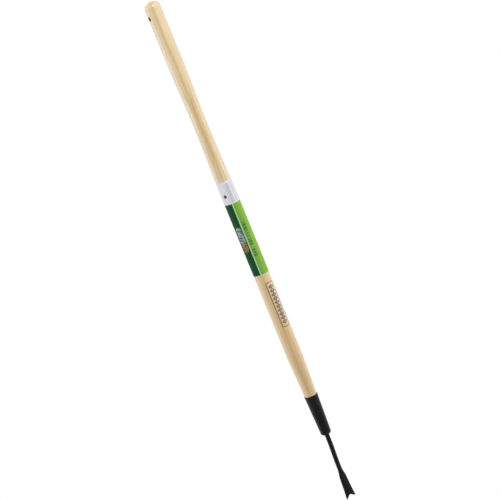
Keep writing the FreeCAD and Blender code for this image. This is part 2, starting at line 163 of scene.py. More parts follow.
def add_object(name, data):
    made = bpy.data.objects.new(name, data)
    bpy.context.scene.collection.objects.link(made)
    return made


def freeze(made, sharp_degrees=30.0):
    """Turns an object with live modifiers into a plain mesh object of the same name."""
    graph = bpy.context.evaluated_depsgraph_get()
    mesh = bpy.data.meshes.new_from_object(made.evaluated_get(graph), depsgraph=graph)
    name = made.name
    bpy.data.objects.remove(made)
    work = bmesh.new()
    work.from_mesh(mesh)
    bmesh.ops.recalc_face_normals(work, faces=work.faces)
    work.to_mesh(mesh)
    work.free()
    mesh.name = name
    mesh.shade_smooth()
    mesh.set_sharp_from_angle(angle=math.radians(sharp_degrees))
    return add_object(name, mesh)


def mesh_object(name, vertices, faces, material):
    mesh = bpy.data.meshes.new(name)
    mesh.from_pydata(vertices, [], faces)
    mesh.materials.append(material)
    return freeze(add_object(name, mesh))


def cut(made, cutter):
    """Cuts one closed mesh out of another and drops the cutter."""
    knife = made.modifiers.new("cut", "BOOLEAN")
    knife.operation = "DIFFERENCE"
    knife.solver = "EXACT"
    knife.object = cutter
    finished = freeze(made)
    bpy.data.objects.remove(cutter)
    return finished


def named_tree(name, inputs):
    """Geometry node tree with named inputs and one Piece output."""
    tree = bpy.data.node_groups.new(name, "GeometryNodeTree")
    for label, kind in inputs.items():
        tree.interface.new_socket(label, in_out="INPUT", socket_type="NodeSocket" + kind)
    tree.interface.new_socket("Piece", in_out="OUTPUT", socket_type="NodeSocketGeometry")
    add = partial(add_node, tree)
    return tree, add, add("NodeGroupInput").outputs


def run_tree(made, tree, values):
    """Gives an object a tree, with values by input name, and turns the result into a plain mesh."""
    modifier = made.modifiers.new(tree.name, "NODES")
    modifier.node_group = tree
    for item in tree.interface.items_tree:
        if item.in_out == "INPUT" and item.name in values:
            modifier[item.identifier] = values[item.name]
    return freeze(made)


def smooth(low, high, place):
    """0 below low, 1 above high, eased between."""
    share = min(max((place - low) / (high - low), 0.0), 1.0)
    return share * share * (3 - 2 * share)


# ------------------------------------------------------------------------------------------
# Turned pieces
# ------------------------------------------------------------------------------------------
POLE_SIDES, HOLE_SIDES, PIN_SIDES, PIN_HOLE_SIDES = 128, 48, 40, 24


def lathe_tree():
    """Turns an outline of (radius, -height) points round the Z axis, as a lathe does."""
    tree, add, given = named_tree("lathe", {"Outline": "Geometry", "Sides": "Int", "Finish": "Material"})
    centre = add("GeometryNodeCurvePrimitiveCircle", {"Resolution": given["Sides"], "Radius": 0.001 * MM})
    skin = add("GeometryNodeCurveToMesh", {"Curve": centre, "Profile Curve": given["Outline"]})
    closed = add("GeometryNodeMergeByDistance", {"Geometry": skin, "Distance": 0.01 * MM})
    real = add("GeometryNodeRealizeInstances", {"Geometry": closed})
    finished = add("GeometryNodeSetMaterial", {"Geometry": real, "Material": given["Finish"]})
    add("NodeGroupOutput", {"Piece": finished})
    return tree


LATHE = lathe_tree()


def turned(name, outline, sides, material):
    """Turns (radius, height) points round the Z axis into a closed piece."""
    curve = bpy.data.curves.new(name, "CURVE")
    curve.dimensions = "3D"
    spline = curve.splines.new("POLY")
    spline.points.add(len(outline) - 1)
    for point, (radius, height) in zip(spline.points, outline):
        point.co = (radius, -height, 0, 1)
    spline.use_cyclic_u = outline[0][0] > 0
    return run_tree(add_object(name, curve), LATHE, {"Sides": sides, "Finish": material})


def arc(start, end, centre, steps):
    """Points after start up to end, round a centre."""
    first = math.atan2(start[1] - centre[1], start[0] - centre[0])
    last = math.atan2(end[1] - centre[1], end[0] - centre[0])
    radius = math.dist(start, centre)
    angles = [first + (last - first) * step / steps for step in range(1, steps + 1)]
    return [(centre[0] + radius * math.cos(angle), centre[1] + radius * math.sin(angle)) for angle in angles]


def spaced(start, end, steps):
    """Values after start up to end, evenly spaced."""
    return [start + (end - start) * step / steps for step in range(1, steps + 1)]


def flat_arc(height, end_height, end_radius, depth, length):
    """Radius on the very long arc that leaves end_height straight up and falls depth over length."""
    bend = (depth ** 2 + length ** 2) / (2 * abs(depth))
    fall = bend - math.sqrt(bend ** 2 - (height - end_height) ** 2)
    return end_radius - math.copysign(fall, depth)


GRIP_END = POLE_TOP - GRIP_LENGTH
WAIST = GRIP_END - WAIST_UPPER
WAIST_END = WAIST - WAIST_LOWER
TAPER_TOP = RIM + TAPER_LENGTH
WAIST_RADIUS = POLE_RADIUS - WAIST_DEPTH
CONE_SLOPE = (RIM_RADIUS - BASE_RADIUS) / (RIM - CUP_FOOT - BASE_CORNER)
RIM_WOOD = RIM_RADIUS - WALL - WOOD_GAP


def pole_radius(height):
    """Side of the wooden pole at a height, below the domed top."""
    upper_turn = WAIST + WAIST_UPPER * UPPER_TURN
    lower_turn = WAIST - WAIST_LOWER * LOWER_TURN
    if height >= GRIP_END:
        return POLE_RADIUS
    if height >= upper_turn:
        return flat_arc(height, GRIP_END, POLE_RADIUS, WAIST_DEPTH * (1 - UPPER_TURN), GRIP_END - upper_turn)
    if height >= WAIST:
        return flat_arc(height, WAIST, WAIST_RADIUS, -WAIST_DEPTH * UPPER_TURN, upper_turn - WAIST)
    if height >= lower_turn:
        return flat_arc(height, WAIST, WAIST_RADIUS, -WAIST_DEPTH * LOWER_TURN, WAIST - lower_turn)
    if height >= WAIST_END:
        depth = WAIST_DEPTH * (1 - LOWER_TURN)
        return flat_arc(height, WAIST_END, POLE_RADIUS, depth, lower_turn - WAIST_END)
    if height >= TAPER_TOP:
        return POLE_RADIUS
    if height >= RIM:
        return RIM_WOOD + (POLE_RADIUS - RIM_WOOD) * (height - RIM) / TAPER_LENGTH
    return RIM_WOOD - CONE_SLOPE * (RIM - height)


def make_pole(material):
    """Pole with a domed top, a waist, a tapered foot, and holes for hanging, the tang and the pin."""
    foot = pole_radius(POLE_FOOT)
    outline = [(0, TANG_TOP + ROD_GAP), (TANG_TIP_RADIUS + ROD_GAP, TANG_TOP + ROD_GAP),
               (ROD_RADIUS + ROD_GAP, POLE_FOOT), (foot - FOOT_CHAMFER, POLE_FOOT),
               (foot, POLE_FOOT + FOOT_CHAMFER), (RIM_WOOD, RIM)]
    # each height and the number of rings up to it, closest round the hang hole
    stations = [(TAPER_TOP, 12), (WAIST_END, 30), (WAIST, 40), (GRIP_END, 30),
                (HOLE_HEIGHT - HOLE_BAND, 10), (HOLE_HEIGHT + HOLE_BAND, 16)]
    reached = RIM
    for height, steps in stations:
        outline += [(pole_radius(level), level) for level in spaced(reached, height, steps)]
        reached = height
    side = POLE_RADIUS - CORNER_RADIUS
    reach = CROWN_RADIUS - CORNER_RADIUS
    rise = math.sqrt(reach ** 2 - side ** 2)
    crown = (0, POLE_TOP - CROWN_RADIUS)
    corner = (side, crown[1] + rise)
    base = (POLE_RADIUS, corner[1])
    meet = (side * CROWN_RADIUS / reach, crown[1] + rise * CROWN_RADIUS / reach)
    outline += [base] + arc(base, meet, corner, 12) + arc(meet, (0, POLE_TOP), crown, 10)
    pole = turned("pole", outline, POLE_SIDES, material)

    # the hang hole's drill widens where it leaves the wood, so the hole's edges are rounded over
    out = POLE_RADIUS + 2 * MM
    skin = POLE_RADIUS * math.cos(HOLE_RADIUS / POLE_RADIUS)
    flare = [(0, -out), (HOLE_RADIUS + HOLE_EDGE + out - skin, -out), (HOLE_RADIUS + HOLE_EDGE, -skin),
             (HOLE_RADIUS + 0.25 * HOLE_EDGE, -skin + 0.45 * HOLE_EDGE),
             (HOLE_RADIUS, -skin + 1.2 * HOLE_EDGE)]
    mirrored = [(radius, -along) for radius, along in reversed(flare)]
    drill = turned("drill", flare + mirrored, HOLE_SIDES, material)
    drill.data.transform(Matrix.Translation((0, 0, HOLE_HEIGHT)) @ Matrix.Rotation(math.pi / 2, 4, "Y"))
    pole = cut(pole, drill)
    return cut(pole, pin_drill("wood_drill", material, pin_low.y - PIN_GAP))


def pin_drill(name, material, start):
    """Round cutter for the pin, from a depth out through the back."""
    radius = PIN_RADIUS + PIN_GAP
    out = RIM_RADIUS + 3 * MM
    drill = turned(name, [(0, start), (radius, start), (radius, out), (0, out)], PIN_HOLE_SIDES, material)
    drill.data.transform(Matrix.Translation((0, 0, PIN_HEIGHT)) @ Matrix.Rotation(-math.pi / 2, 4, "X"))
    return drill


def make_ferrule(material):
    """Drawn steel cup: rounded rim, tapered wall, round bottom, a hole for the rod and one for the pin."""
    hole = ROD_RADIUS + ROD_GAP
    flat = BASE_RADIUS - BASE_CORNER
    side = CUP_FOOT + BASE_CORNER
    outer, inner = (BASE_RADIUS, side), (BASE_RADIUS - WALL, side)
    crest = RIM - LIP
    outer_edge, inner_edge = RIM_RADIUS - CONE_SLOPE * LIP, RIM_RADIUS - WALL
    outline = [(hole, CUP_FOOT), (flat, CUP_FOOT)] + arc((flat, CUP_FOOT), outer, (flat, side), 12)
    outline += zip(spaced(BASE_RADIUS, outer_edge, 24), spaced(side, crest, 24))
    outline += arc((outer_edge, crest), (outer_edge - LIP, RIM), (outer_edge - LIP, crest), 5)
    outline += [(inner_edge + LIP, RIM)]
    outline += arc((inner_edge + LIP, RIM), (inner_edge, crest), (inner_edge + LIP, crest), 4)
    outline += zip(spaced(inner_edge, inner[0], 12), spaced(crest, side, 12))
    outline += arc(inner, (flat, CUP_FOOT + WALL), (flat, side), 8) + [(hole, CUP_FOOT + WALL)]
    cup = turned("ferrule_cup", outline, POLE_SIDES, material)
    return cut(cup, pin_drill("cup_drill", material, 5 * MM))


def make_pin(material):
    """Round-headed pin, its head against the back of the ferrule."""
    head_radius = (pin_high.x - pin_low.x) / 2
    seat = pin_high.y - PIN_DOME
    tip = pin_low.y - seat
    centre = (0, (PIN_DOME ** 2 - head_radius ** 2) / (2 * PIN_DOME))
    outline = [(0, tip), (0.5 * PIN_RADIUS, tip), (PIN_RADIUS, tip + PIN_RADIUS), (PIN_RADIUS, 0),
               (head_radius, 0)]
    outline += arc((head_radius, 0), (0, PIN_DOME), centre, 8)
    pin = turned("ferrule_nail", outline, PIN_SIDES, material)
    pin.data.transform(Matrix.Translation((0, seat, PIN_HEIGHT)) @ Matrix.Rotation(-math.pi / 2, 4, "X"))
    return pin


# ------------------------------------------------------------------------------------------
# Weld bead
# ------------------------------------------------------------------------------------------
SAMPLES_PER_RIPPLE = 8
RIPPLES, RIPPLE_DEPTH = 16, 0.3
# the section's radius as a share of the weld's leg, and how far its middle is from rod and cup, as a
# share of that radius
BEAD_SHARE, BEAD_OFFSET = 0.52, 0.35


def bead_tree():
    """A ring whose thickness rises and falls with each ripple of the weld."""
    sizes = {"Ring Radius": "Float", "Ring Height": "Float", "Bead Radius": "Float", "Ripple Depth": "Float",
             "Ripples": "Int", "Finish": "Material"}
    tree, add, given = named_tree("weld_bead", sizes)
    points = add("ShaderNodeMath", (given["Ripples"], SAMPLES_PER_RIPPLE), operation="MULTIPLY")
    ring = add("GeometryNodeCurvePrimitiveCircle", {"Resolution": points, "Radius": given["Ring Radius"]})
    number = add("GeometryNodeInputIndex")
    phase = add("ShaderNodeMath", (number, math.pi / SAMPLES_PER_RIPPLE), operation="MULTIPLY")
    wave = add("ShaderNodeMath", (add("ShaderNodeMath", (phase,), operation="SINE"),), operation="ABSOLUTE")
    low = add("ShaderNodeMath", (1.0, given["Ripple Depth"]), operation="SUBTRACT")
    share = add("ShaderNodeMath", (wave, given["Ripple Depth"], low), operation="MULTIPLY_ADD")
    section = add("GeometryNodeCurvePrimitiveCircle", {"Resolution": 12, "Radius": given["Bead Radius"]})
    sized = add("GeometryNodeSetCurveRadius", {"Curve": ring, "Radius": share})
    skin = add("GeometryNodeCurveToMesh", {"Curve": sized, "Profile Curve": section, "Scale": share})
    lift = add("ShaderNodeCombineXYZ", {"Z": given["Ring Height"]})
    placed = add("GeometryNodeSetPosition", {"Geometry": skin, "Offset": lift})
    real = add("GeometryNodeRealizeInstances", {"Geometry": placed})
    finished = add("GeometryNodeSetMaterial", {"Geometry": real, "Material": given["Finish"]})
    add("NodeGroupOutput", {"Piece": finished})
    return tree


def make_bead(material):
    """Small fillet weld between the rod and the bottom of the ferrule."""
    size = (bead_high.x - ROD_RADIUS) * BEAD_SHARE
    offset = BEAD_OFFSET * size
    values = {"Ring Radius": ROD_RADIUS + offset, "Ring Height": CUP_FOOT - offset, "Bead Radius": size,
              "Ripple Depth": RIPPLE_DEPTH, "Ripples": RIPPLES, "Finish": material}
    blank = add_object("weld_ripples", bpy.data.meshes.new("weld_ripples"))
    return run_tree(blank, bead_tree(), values)


# ------------------------------------------------------------------------------------------
# Forged head
# ------------------------------------------------------------------------------------------
# (height, half width, half thickness) of the blade in millimetres, from the tips up to the round rod
BLADE_SECTIONS = [
    (0, 11.0, 0.75), (9, 10.2, 1.1), (18, 9.45, 1.45), (28, 8.85, 1.8), (38, 8.35, 2.25), (47, 7.8, 2.7),
    (52, 7.2, 3.0), (56, 6.4, 3.5), (60, 5.5, 4.1), (64, 4.9, 4.6), (68, 4.75, 4.75)]
NOTCH_DEPTH = 7.2 * MM
NOTCH_ROUND = 1.5 * MM
NOTCH_BULGE = 0.82
TIP_LAND = 0.35 * MM
GROUND_LENGTH = 4.5 * MM
GROUND_SHARE = 0.16
STRETCH = 26 * MM
SHOULDER_LENGTH = 22 * MM
# how far the flat blade's section goes from an ellipse towards a lens
SECTION_LENS = 0.25
# hollows down both sides of the blade's middle: their depth as a share of its thickness, and the
# cosines between which they fade out, towards the edges and towards the ridge between them
GROOVE_SHARE = 0.22
GROOVE_EDGE = (0.9, 0.2)
GROOVE_RIDGE = (0, 0.22)
HEAD_SIDES = 72


def blade_size(height):
    """Half width and half thickness of the blade at a height."""
    for low, high in zip(BLADE_SECTIONS, BLADE_SECTIONS[1:]):
        if height <= high[0] * MM:
            share = (height / MM - low[0]) / (high[0] - low[0])
            return [(first + (second - first) * share) * MM for first, second in zip(low[1:], high[1:])]
    return [BLADE_SECTIONS[-1][1] * MM, BLADE_SECTIONS[-1][2] * MM]


def notch_height(across, half_width):
    """Height of the fishtail's edge at a distance from the blade's middle."""
    share = min(abs(across) / (half_width - TIP_LAND), 1.0)
    run = math.hypot(share * half_width, NOTCH_ROUND) - NOTCH_ROUND
    full = math.hypot(half_width, NOTCH_ROUND) - NOTCH_ROUND
    return NOTCH_DEPTH * (1 - (run / full) ** NOTCH_BULGE)


def head_point(level, angle):
    """Point of the head's skin; level 0 follows the fishtail's edge and is straight again at STRETCH."""
    cosine, sine = math.cos(angle), math.sin(angle)
    half_tip = BLADE_SECTIONS[0][1] * MM
    edge = notch_height(cosine * half_tip, half_tip)
    height = edge + level * (STRETCH - edge) / STRETCH if level < STRETCH else level
    middle = -BLADE_SHIFT * (1 - smooth(BLADE_LENGTH, CUP_FOOT - ROD_STRAIGHT, level))
    if height <= BLADE_LENGTH:
        width, thickness = blade_size(height)
        flat = smooth(BLADE_LENGTH, BLADE_LENGTH - SHOULDER_LENGTH, height)
        ground = GROUND_SHARE + (1 - GROUND_SHARE) * smooth(0, GROUND_LENGTH, height - edge)
        groove = smooth(*GROOVE_EDGE, abs(cosine)) * smooth(*GROOVE_RIDGE, abs(cosine))
        bulge = math.copysign(abs(sine) ** (1 + SECTION_LENS * flat), sine)
        deep = thickness * bulge * ground * (1 - GROOVE_SHARE * flat * groove)
        return middle + width * cosine, deep, height
    share = max(height - POLE_FOOT, 0) / (TANG_TOP - POLE_FOOT)
    radius = ROD_RADIUS + (TANG_TIP_RADIUS - ROD_RADIUS) * share
    return middle + radius * cosine, radius * sine, height


def make_head(material):
    """Tang, round rod and flared blade as one skin of rings, from the fishtail up to the tang's tip."""
    # rings in millimetres, closest at the fishtail's edge, then places read from the frame
    levels = [0, 0.4, 0.8, 1.3, 2, 3, 4.5, 6, 8, 10, 12.5, 15, 17.5, 20, 23] + list(range(26, 68, 2))
    levels = [level * MM for level in levels + [68, 80, 95, 110, 125]]
    levels += [CUP_FOOT - ROD_STRAIGHT, CUP_FOOT, POLE_FOOT, TANG_TOP - 0.6 * MM, TANG_TOP]
    angles = [2 * math.pi * step / HEAD_SIDES for step in range(HEAD_SIDES)]
    vertices = [head_point(level, angle) for level in levels for angle in angles]
    faces = []
    for row in range(0, (len(levels) - 1) * HEAD_SIDES, HEAD_SIDES):
        for step in range(HEAD_SIDES):
            ahead = (step + 1) % HEAD_SIDES
            faces.append((row + step, row + ahead, row + HEAD_SIDES + ahead, row + HEAD_SIDES + step))
    # the fishtail's edge joins the front of the blade to its back
    for back in range(HEAD_SIDES // 2):
        front = (HEAD_SIDES - back) % HEAD_SIDES
        faces.append(tuple(dict.fromkeys((back, front, front - 1 if front else HEAD_SIDES - 1, back + 1))))
    faces.append(tuple(range(len(vertices) - HEAD_SIDES, len(vertices))))
    return mesh_object("forged_head", vertices, faces, material)


# ------------------------------------------------------------------------------------------
# Film round the pole
# ------------------------------------------------------------------------------------------
FILM = 0.055 * MM
FILM_LIFT = 0.004 * MM
OVERLAP = 9.0 * MM
# radians over which the film climbs onto its own start, and how many films high it climbs
LAP_EASE, LAP_LIFT = 0.05, 1.05
FILM_COLUMNS = 168
FILM_ROW = 2.5 * MM


def make_film(name, low, high, seam_degrees, material):
    """Printed film wrapped once round the pole, its end lapped over its start at the seam."""
    rows = math.ceil((high - low) / FILM_ROW)
    turn = 2 * math.pi + OVERLAP / POLE_RADIUS
    across = FILM_COLUMNS + 1
    layer = (rows + 1) * across
    vertices = []
    for side in (0, 1):
        for row in range(rows + 1):
            height = low + (high - low) * row / rows
            for column in range(across):
                angle = turn * column / FILM_COLUMNS
                lap = smooth(2 * math.pi - LAP_EASE, 2 * math.pi, angle)
                radius = pole_radius(height) + FILM_LIFT + FILM * (side + LAP_LIFT * lap)
                place = math.radians(seam_degrees) + angle
                vertices.append((radius * math.sin(place), -radius * math.cos(place), height))
    faces = []
    for row in range(rows):
        for corner in range(row * across, row * across + FILM_COLUMNS):
            inner = (corner, corner + 1, corner + across + 1, corner + across)
            faces += [inner, tuple(layer + number for number in inner)]
        for edge in (row * across, row * across + FILM_COLUMNS):
            faces.append((edge, layer + edge, layer + edge + across, edge + across))
    for start in (0, rows * across):
        for corner in range(start, start + FILM_COLUMNS):
            faces.append((corner, corner + 1, layer + corner + 1, layer + corner))
    return mesh_object(name, vertices, faces, material)


# ------------------------------------------------------------------------------------------
# Finishes
# ------------------------------------------------------------------------------------------
def new_finish(name):
    """Empty material: its node adder, its shader and the place on the tool in millimetres."""
    material = bpy.data.materials.new(name)
    material.use_nodes = True
    material.node_tree.nodes.clear()
    add = partial(add_node, material.node_tree)
    shader = add("ShaderNodeBsdfPrincipled")
    add("ShaderNodeOutputMaterial", {"Surface": shader})
    corner = add("ShaderNodeTexCoord").outputs["Object"]
    place = add("ShaderNodeVectorMath", {"Vector": corner, "Scale": 1 / MM}, operation="SCALE")
    return material, add, shader, place


def set_finish(add, shader, colour, roughness, relief, depth, **constants):
    """Colour, roughness and relief from nodes; everything else straight on the shader."""
    tree = shader.id_data
    normal = add("ShaderNodeBump", {"Height": relief, "Distance": depth, "Strength": 1.0})
    for name, node in (("Base Color", colour), ("Roughness", roughness), ("Normal", normal)):
        tree.links.new(next(output for output in node.outputs if output.enabled), shader.inputs[name])
    for name, value in constants.items():
        shader.inputs[name.replace("_", " ")].default_value = value


def grains(add, place, across, along, detail=3.0, roughness=0.55):
    """Noise whose grains are so many millimetres across the pole and along it."""
    scaled = add("ShaderNodeVectorMath", (place, (1 / across, 1 / across, 1 / along)), operation="MULTIPLY")
    settings = {"Vector": scaled, "Scale": 1.0, "Detail": detail, "Roughness": roughness}
    return add("ShaderNodeTexNoise", settings)


def unrolled(add, place):
    """Millimetres round the pole from its front, to the right, and millimetres up."""
    axes = add("ShaderNodeSeparateXYZ", (place,)).outputs
    front = add("ShaderNodeMath", (axes["Y"], -1.0), operation="MULTIPLY")
    angle = add("ShaderNodeMath", (axes["X"], front), operation="ARCTAN2")
    return add("ShaderNodeMath", (angle, POLE_RADIUS / MM), operation="MULTIPLY"), axes["Z"]


def patch(add, amounts, middles, halves, corner, edge=0.15, ring=None):
    """1 inside a rounded rectangle, or on its outline where ring gives half the line's width."""
    spot = add("ShaderNodeCombineXYZ", amounts)
    away = add("ShaderNodeVectorMath", (spot, (*middles, 0.0)), operation="SUBTRACT")
    away = add("ShaderNodeVectorMath", (away,), operation="ABSOLUTE")
    inside = (halves[0] - corner, halves[1] - corner, 0.0)
    past = add("ShaderNodeVectorMath", (away, inside), operation="SUBTRACT")
    past = add("ShaderNodeVectorMath", (past, (0.0, 0.0, 0.0)), operation="MAXIMUM")
    distance = add("ShaderNodeVectorMath", (past,), operation="LENGTH")
    if ring is None:
        limits = (distance, corner + edge, corner - edge)
        return add("ShaderNodeMapRange", limits, interpolation_type="SMOOTHSTEP")
    distance = add("ShaderNodeMath", (distance, corner), operation="SUBTRACT")
    distance = add("ShaderNodeMath", (distance,), operation="ABSOLUTE")
    return add("ShaderNodeMapRange", (distance, ring + edge, ring - edge), interpolation_type="SMOOTHSTEP")


# (grain across in mm, grain along in mm, low, high, strength, colour): soft to fine
WOOD_GRAIN = [
    (9.0, 190.0, 0.38, 0.66, 0.75, "#D8B87A"),
    (2.6, 120.0, 0.46, 0.70, 0.35, "#C8A05A"),
    (0.6, 60.0, 0.44, 0.72, 0.22, "#B78F4E"),
    (0.35, 9.0, 0.70, 0.80, 0.22, "#8C6638"),
]
RING_PITCH = 4.2
PITH = (12.7, 27.2, 0.0)
# painted shade down the pole's front: how far it wanders and stands to the left, where it fades out and in,
# its strength
PAINTED_SHADE_WANDER, PAINTED_SHADE_OFFSET = 6.0, 3.6
PAINTED_SHADE_EDGE, PAINTED_SHADE_STRENGTH = (4.5, 0.4), 0.52
# heights between which the wood turns warmer, and how much
WARM_BAND, WARM_STRENGTH = (700.0, 380.0), 0.55
# end grain: how far below the top it starts and is full, and how dark; raw wood round the hole; ink
CREST_BAND, CREST_STRENGTH = (7.5, 1.5), 0.7
RAW_EDGE, RAW_STRENGTH = 0.6, 0.85
INK_STRENGTH = 0.97

# printed mark on the wood: a chain of lozenges in a thin frame (round from the front, up, in mm)
MARK_MIDDLE = (2.65, 436.5)
MARK_HALVES = (8.75, 47.5)
MARK_CORNER = 2.5
LOZENGE_PITCH = 8.4
LOZENGE_HALF_WIDTH = 6.2
LOZENGE_CHAIN = 42.0
# a lozenge's size, and where its line's edge starts and ends, as shares of the pitch
LOZENGE_SIZE, LOZENGE_EDGE = 0.34, (0.23, 0.18)


def wood_mark(add, place):
    """1 where the wood carries ink."""
    across, up = unrolled(add, place)
    amounts = {"X": across, "Y": up}
    border = patch(add, amounts, MARK_MIDDLE, MARK_HALVES, MARK_CORNER, ring=0.8)
    chain = patch(add, amounts, MARK_MIDDLE, (LOZENGE_HALF_WIDTH, LOZENGE_CHAIN), 0.5)
    along = add("ShaderNodeMath", (up, LOZENGE_PITCH), operation="DIVIDE")
    along = add("ShaderNodeMath", (along,), operation="FRACT")
    along = add("ShaderNodeMath", (along, 0.5), operation="SUBTRACT")
    along = add("ShaderNodeMath", (along,), operation="ABSOLUTE")
    aside = add("ShaderNodeMath", (across, MARK_MIDDLE[0]), operation="SUBTRACT")
    aside = add("ShaderNodeMath", (aside,), operation="ABSOLUTE")
    sum_of_shares = add("ShaderNodeMath", (aside, 0.5 / LOZENGE_HALF_WIDTH, along), operation="MULTIPLY_ADD")
    ring = add("ShaderNodeMath", (sum_of_shares, LOZENGE_SIZE), operation="SUBTRACT")
    ring = add("ShaderNodeMath", (ring,), operation="ABSOLUTE")
    lozenge = add("ShaderNodeMapRange", (ring, *LOZENGE_EDGE), interpolation_type="SMOOTHSTEP")
    lozenge = add("ShaderNodeMath", (lozenge, chain), operation="MULTIPLY")
    mark = add("ShaderNodeMath", (border, lozenge), operation="MAXIMUM")
    worn = add("ShaderNodeMapRange", (grains(add, place, 0.9, 1.4), 0.30, 0.42, 0.45, 1.0))
    return add("ShaderNodeMath", (mark, worn), operation="MULTIPLY")


def lacquered_hardwood():
    """Turned pale hardwood under clear lacquer: soft lengthwise grain and a whitish gloss down the sides."""
    material, add, shader, place = new_finish("lacquered_hardwood")
    axes = add("ShaderNodeSeparateXYZ", (place,)).outputs
    up = axes["Z"]

    # growth layers round a pith behind the pole; they drift along it, so a broad figure shows in front
    drift = add("ShaderNodeMath", (grains(add, place, 60.0, 260.0, 2.0), 3.0), operation="MULTIPLY")
    out = add("ShaderNodeVectorMath", (place, PITH), operation="SUBTRACT")
    out = add("ShaderNodeVectorMath", (out, (1.0, 1.0, 0.0)), operation="MULTIPLY")
    out = add("ShaderNodeVectorMath", (out,), operation="LENGTH")
    out = add("ShaderNodeMath", (out, drift), operation="ADD")
    layer = add("ShaderNodeMath", (out, RING_PITCH), operation="DIVIDE")
    layer = add("ShaderNodeMath", (layer,), operation="FRACT")
    early = add("ShaderNodeMapRange", (layer, 0.3, 0.93), interpolation_type="SMOOTHSTEP")
    late = add("ShaderNodeMapRange", (layer, 1.0, 0.94, 0.0, 0.5), interpolation_type="SMOOTHSTEP")
    late = add("ShaderNodeMath", (early, late), operation="MULTIPLY")
    colour = add("ShaderNodeMix", (late, linear("#E8D39E"), linear("#CDA058")), data_type="RGBA")

    for across, along, low, high, strength, code in WOOD_GRAIN:
        grain = add("ShaderNodeMapRange", (grains(add, place, across, along), low, high, 0.0, strength),
                    interpolation_type="SMOOTHSTEP")
        colour = add("ShaderNodeMix", (grain, colour, linear(code)), data_type="RGBA")

    # painted shade: a darker band down the front, where less light falls; and a warmer lower half
    round_pole, _ = unrolled(add, place)
    wander = grains(add, place, 200.0, 120.0, 1.0)
    wobble = add("ShaderNodeMath", (wander, PAINTED_SHADE_WANDER, PAINTED_SHADE_OFFSET), operation="MULTIPLY_ADD")
    front_shade = add("ShaderNodeMath", (round_pole, wobble), operation="ADD")
    front_shade = add("ShaderNodeMath", (front_shade,), operation="ABSOLUTE")
    limits = (front_shade, *PAINTED_SHADE_EDGE, 0.0, PAINTED_SHADE_STRENGTH)
    front_shade = add("ShaderNodeMapRange", limits, interpolation_type="SMOOTHSTEP")
    # mixes in the painted shade down the front
    colour = add("ShaderNodeMix", (front_shade, colour, linear("#BE9046")), data_type="RGBA")
    limits = (up, *WARM_BAND, 0.0, WARM_STRENGTH)
    warm = add("ShaderNodeMapRange", limits, interpolation_type="SMOOTHSTEP")
    colour = add("ShaderNodeMix", (warm, colour, linear("#DCAB60")), data_type="RGBA")

    # end grain at the top drinks the lacquer, and the drilled hole shows raw wood
    start, full = [POLE_TOP / MM - below for below in CREST_BAND]
    crest = add("ShaderNodeMapRange", (up, start, full, 0.0, CREST_STRENGTH))
    colour = add("ShaderNodeMix", (crest, colour, linear("#C5874A")), data_type="RGBA")
    from_hole = add("ShaderNodeVectorMath", (place, (0.0, 0.0, HOLE_HEIGHT / MM)), operation="SUBTRACT")
    from_hole = add("ShaderNodeVectorMath", (from_hole, (0.0, 1.0, 1.0)), operation="MULTIPLY")
    from_hole = add("ShaderNodeVectorMath", (from_hole,), operation="LENGTH")
    rim = HOLE_RADIUS / MM
    bored = add("ShaderNodeMapRange", (from_hole, rim + RAW_EDGE, rim, 0.0, RAW_STRENGTH))
    colour = add("ShaderNodeMix", (bored, colour, linear("#4A2F18")), data_type="RGBA")
    ink = add("ShaderNodeMath", (wood_mark(add, place), INK_STRENGTH), operation="MULTIPLY")
    colour = add("ShaderNodeMix", (ink, colour, linear("#140B04")), data_type="RGBA")

    fibre = grains(add, place, 0.5, 40.0, 3.0)
    rough = add("ShaderNodeMapRange", (fibre, 0.0, 1.0, 0.36, 0.52))
    set_finish(add, shader, colour, rough, fibre, 0.02 * MM, Coat_Weight=1.0, Coat_Roughness=COAT_ROUGHNESS,
               Coat_IOR=COAT_IOR, Sheen_Weight=BLOOM, Sheen_Roughness=BLOOM_ROUGHNESS)
    return material


def enamel(name, dark, light, grain, rough_low, rough_high, depth):
    """Black stoving enamel on steel: deep satin black; the grain is orange peel or hammer marks."""
    material, add, shader, place = new_finish(name)
    cloud = add("ShaderNodeTexNoise", {"Vector": place, "Scale": 1 / 14.0, "Detail": 3.0})
    shade = add("ShaderNodeMapRange", (cloud, 0.35, 0.7), interpolation_type="SMOOTHSTEP")
    colour = add("ShaderNodeMix", (shade, linear(dark), linear(light)), data_type="RGBA")
    peel = add("ShaderNodeTexNoise", {"Vector": place, "Scale": 1 / grain, "Detail": 3.0})
    drawn = grains(add, place, 0.6, 14.0)
    relief = add("ShaderNodeMath", (drawn, 0.3, peel), operation="MULTIPLY_ADD")
    rough = add("ShaderNodeMapRange", (cloud, 0.3, 0.7, rough_low, rough_high))
    set_finish(add, shader, colour, rough, relief, depth, Specular_IOR_Level=ENAMEL_SPECULAR)
    return material


# green film, in millimetres round the pole from its front and up
SPLIT = -7.3
SPLIT_HALF = 1.2
LIGHT_END = 33.0
# where the painted light on the light green panel, lighter to the right, is full
PAINTED_LIGHT_END = 12.0
PRINT_MIDDLE, PRINT_HALVES = (-1.3, 580.5), (3.6, 37.5)
PRINT_BAR, PRINT_SHARE, PRINT_STRENGTH = 1.8, 0.6, 0.65
PICTURE_MIDDLE, PICTURE_HALVES = (-17.2, 581.0), (6.8, 26.0)
PICTURE_CORNER, PICTURE_EDGE, PICTURE_STRENGTH = 6.0, 1.0, 0.85
PICTURE_EARTH, EARTH_BLEND = 573.0, 3


